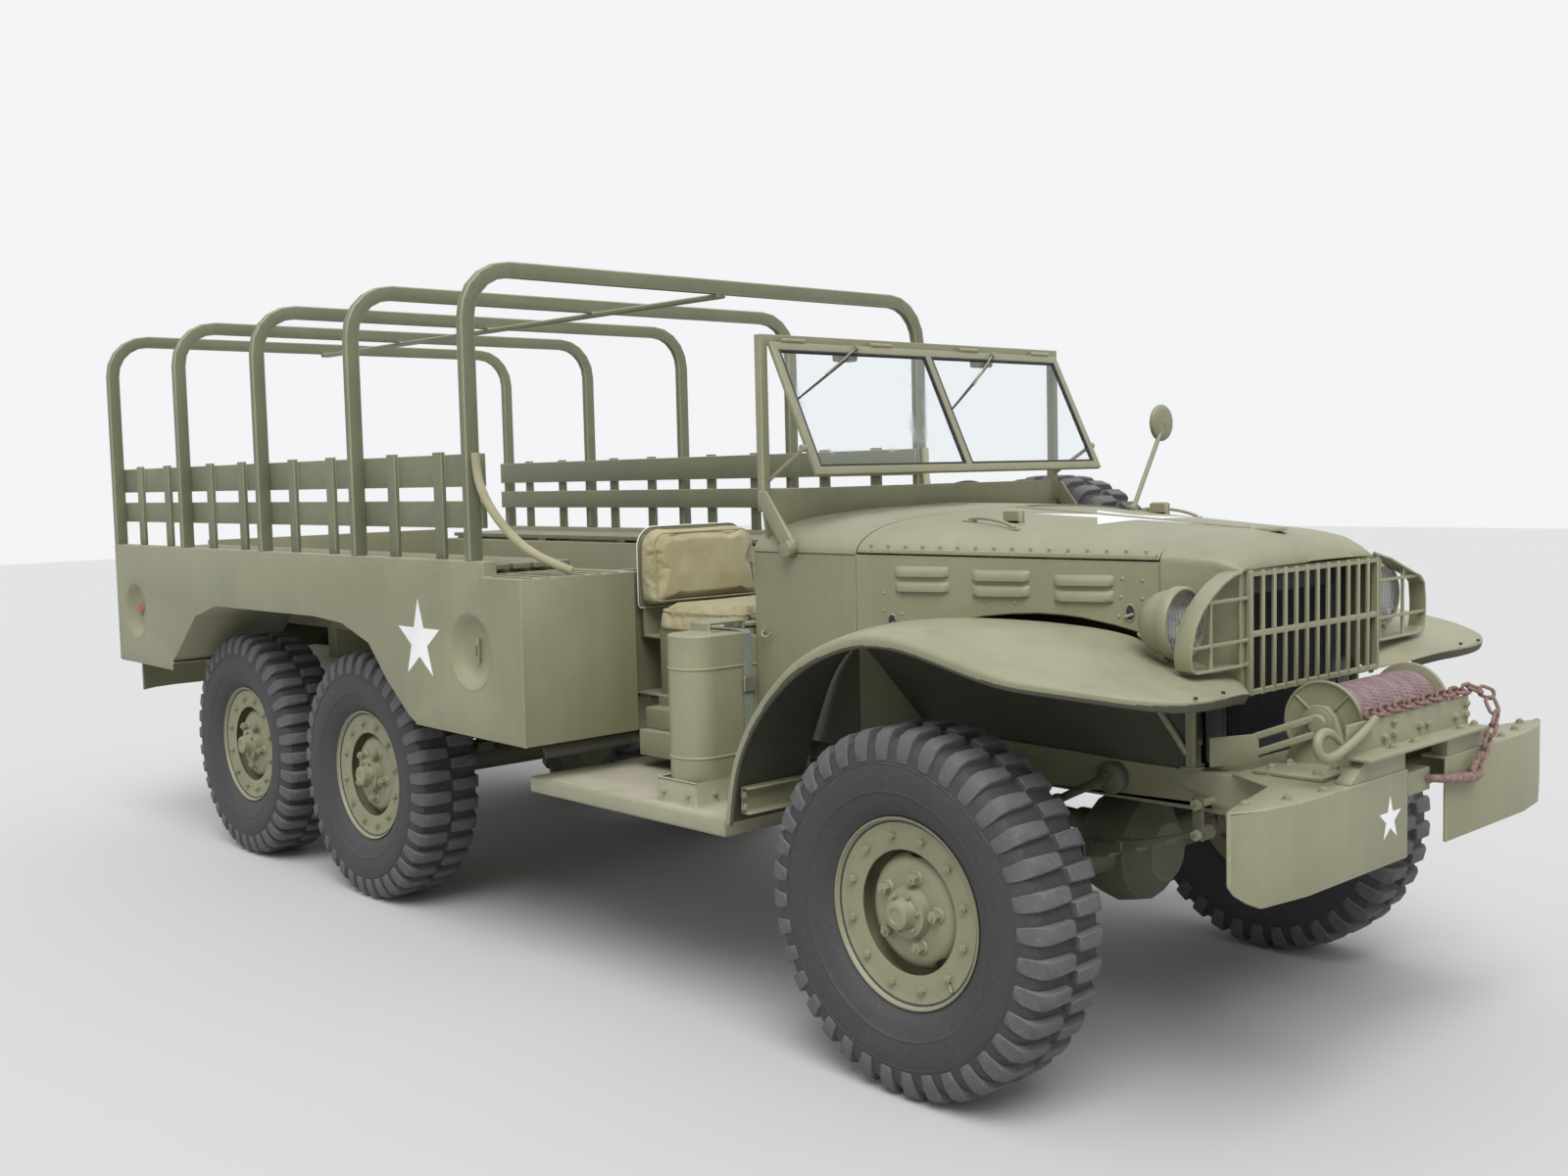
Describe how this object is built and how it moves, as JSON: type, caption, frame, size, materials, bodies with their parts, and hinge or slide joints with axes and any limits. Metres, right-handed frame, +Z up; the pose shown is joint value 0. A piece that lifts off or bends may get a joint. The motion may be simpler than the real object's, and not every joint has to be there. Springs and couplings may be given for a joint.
{
  "type": "open cab cargo truck",
  "caption": "Open-cab military cargo truck with a front winch, bows over a steel cargo body, a spare wheel and a tandem rear axle.",
  "frame": {"origin": "on the ground under the middle of the truck's box", "axes": "+X forward, +Y to the truck's left, +Z up"},
  "size_m": [5.743, 2.108, 2.2],
  "materials": {
    "paint": "semi-matt olive paint, lightly dusted",
    "dark_metal": "matt, oily",
    "tyre": "matt rubber, dusty",
    "canvas": "coarse woven canvas",
    "board": "painted olive, matt",
    "glass": "clear flat glass",
    "lens": "fluted clear glass",
    "rust": "rusty, matt",
    "bare_steel": "dull steel"
  },
  "bodies": {
    "truck": {"spare_wheel": "paint", "spare_tyre": "tyre", "spare_carrier": "paint", "rear_axles": "dark_metal", "front_axle": "dark_metal", "frame": "paint", "leaf_springs": "dark_metal", "engine": "dark_metal", "radiator": "dark_metal", "driveline": "dark_metal", "exhaust": "dark_metal", "fuel_tank": "paint", "grille_guard": "paint", "lamps": "paint", "front_fenders": "paint", "hood_nose": "paint", "hood_sides": "paint", "cowl": "paint", "cab_floor": "paint", "seat_frames": "paint", "seat_pads": "canvas", "running_boards": "paint", "fuel_can": "paint", "cargo_body": "paint", "bows": "board", "side_racks": "board", "bumpers": "paint", "winch_frame": "paint", "winch_chain": "rust", "windshield_frame": "paint", "vent_frame": "paint", "windshield_glass": "glass", "steering_column": "dark_metal", "mirror": "paint", "seat_straps": "canvas"},
    "knuckle_left": {"knuckle_left": "dark_metal"},
    "knuckle_right": {"knuckle_right": "dark_metal"},
    "tie_rod": {"tie_rod": "dark_metal"},
    "hood_left": {"hood_left": "paint"},
    "hood_right": {"hood_right": "paint"},
    "tailgate": {"tailgate": "paint"},
    "troop_seat_left": {"troop_seat_left": "board"},
    "troop_seat_right": {"troop_seat_right": "board"},
    "winch_drum": {"winch_drum": "paint", "winch_cable": "rust"},
    "steering_wheel": {"steering_wheel": "dark_metal"},
    "wheel_front_left": {"wheel_front_left": "paint", "tyre_front_left": "tyre"},
    "wheel_front_right": {"wheel_front_right": "paint", "tyre_front_right": "tyre"},
    "wheel_middle_left": {"wheel_middle_left": "paint", "tyre_middle_left": "tyre"},
    "wheel_middle_right": {"wheel_middle_right": "paint", "tyre_middle_right": "tyre"},
    "wheel_rear_left": {"wheel_rear_left": "paint", "tyre_rear_left": "tyre"},
    "wheel_rear_right": {"wheel_rear_right": "paint", "tyre_rear_right": "tyre"}
  },
  "joints": [
    {"name": "wheel_front_left_spin", "type": "hinge", "parent": "knuckle_left", "child": "wheel_front_left", "pos_m": [1.9775, 0.822, 0.454], "axis": [0, 1, 0], "continuous": true},
    {"name": "wheel_front_right_spin", "type": "hinge", "parent": "knuckle_right", "child": "wheel_front_right", "pos_m": [1.9775, -0.822, 0.454], "axis": [0, 1, 0], "continuous": true},
    {"name": "wheel_middle_left_spin", "type": "hinge", "parent": "truck", "child": "wheel_middle_left", "pos_m": [-0.6895, 0.822, 0.454], "axis": [0, 1, 0], "continuous": true},
    {"name": "wheel_middle_right_spin", "type": "hinge", "parent": "truck", "child": "wheel_middle_right", "pos_m": [-0.6895, -0.822, 0.454], "axis": [0, 1, 0], "continuous": true},
    {"name": "wheel_rear_left_spin", "type": "hinge", "parent": "truck", "child": "wheel_rear_left", "pos_m": [-1.7055, 0.822, 0.454], "axis": [0, 1, 0], "continuous": true},
    {"name": "wheel_rear_right_spin", "type": "hinge", "parent": "truck", "child": "wheel_rear_right", "pos_m": [-1.7055, -0.822, 0.454], "axis": [0, 1, 0], "continuous": true},
    {"name": "steer_left", "type": "hinge", "parent": "truck", "child": "knuckle_left", "pos_m": [1.9775, 0.68, 0.454], "axis": [0, 0, 1], "range_deg": [-28, 28]},
    {"name": "steer_right", "type": "hinge", "parent": "truck", "child": "knuckle_right", "pos_m": [1.9775, -0.68, 0.454], "axis": [0, 0, 1], "range_deg": [-28, 28]},
    {"name": "tie_rod_swing", "type": "hinge", "parent": "knuckle_left", "child": "tie_rod", "pos_m": [1.8075, 0.68, 0.347], "axis": [0, 0, 1], "range_deg": [-28, 28]},
    {"name": "steering_wheel_turn", "type": "hinge", "parent": "truck", "child": "steering_wheel", "pos_m": [1, 0.345, 1.31], "axis": [-0.7799, 0, 0.6259], "range_deg": [-425, 425]},
    {"name": "hood_left_lift", "type": "hinge", "parent": "truck", "child": "hood_left", "pos_m": [1.6035, 0, 1.405], "axis": [0.9974, 0, -0.0719], "range_deg": [0, 80]},
    {"name": "hood_right_lift", "type": "hinge", "parent": "truck", "child": "hood_right", "pos_m": [1.6035, 0, 1.405], "axis": [-0.9974, 0, 0.0719], "range_deg": [0, 80]},
    {"name": "tailgate_drop", "type": "hinge", "parent": "truck", "child": "tailgate", "pos_m": [-2.7065, 0, 0.922], "axis": [0, -1, 0], "range_deg": [0, 90]},
    {"name": "troop_seat_left_fold", "type": "hinge", "parent": "truck", "child": "troop_seat_left", "pos_m": [0, 0.96, 1.237], "axis": [-1, 0, 0], "range_deg": [0, 90]},
    {"name": "troop_seat_right_fold", "type": "hinge", "parent": "truck", "child": "troop_seat_right", "pos_m": [0, -0.96, 1.237], "axis": [1, 0, 0], "range_deg": [0, 90]},
    {"name": "winch_turn", "type": "hinge", "parent": "truck", "child": "winch_drum", "pos_m": [2.692, 0, 0.905], "axis": [0, 1, 0], "continuous": true}
  ],
  "couplings": [
    {"joint": "steer_right", "follows": "steer_left", "ratio": 1},
    {"joint": "tie_rod_swing", "follows": "steer_left", "ratio": -1},
    {"joint": "steering_wheel_turn", "follows": "steer_left", "ratio": 15}
  ]
}
